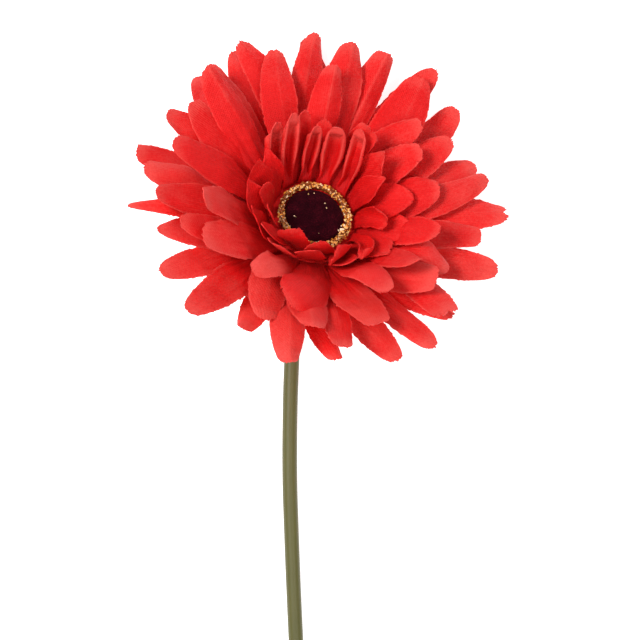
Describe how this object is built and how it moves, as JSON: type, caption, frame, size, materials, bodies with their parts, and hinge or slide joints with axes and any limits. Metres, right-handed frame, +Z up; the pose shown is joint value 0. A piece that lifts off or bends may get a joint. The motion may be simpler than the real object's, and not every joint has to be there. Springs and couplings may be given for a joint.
{
  "type": "artificial gerbera stem",
  "caption": "Artificial gerbera lying down: layered red fabric petals round a dark flocked centre with a golden pollen ring, on a wired plastic stem.",
  "frame": {"origin": "on the surface it lies on, under the middle of its bounding box", "axes": "+Z up, +Y along the stem from its cut end towards the head, +X to the right seen from above"},
  "size_m": [0.1106, 0.451, 0.0655],
  "materials": {
    "stem": "smooth olive green moulded sleeve",
    "wire": "drawn wire, cut square",
    "calyx": "moulded green plastic",
    "pin": "moulded natural plastic",
    "petals": "pressed woven polyester, frayed cut edges",
    "flock": "dark maroon flock",
    "pollen": "golden foam crumbs"
  },
  "bodies": {
    "root": {"stem_sleeve": "stem", "stem_wire": "wire", "calyx": "calyx", "layer_pin": "pin", "petal_layer_1": "petals", "petal_layer_2": "petals", "petal_layer_3": "petals", "petal_layer_4": "petals", "petal_layer_5": "petals", "petal_layer_6": "petals", "centre_pad": "flock", "pollen_ring": "pollen"}
  },
  "joints": []
}
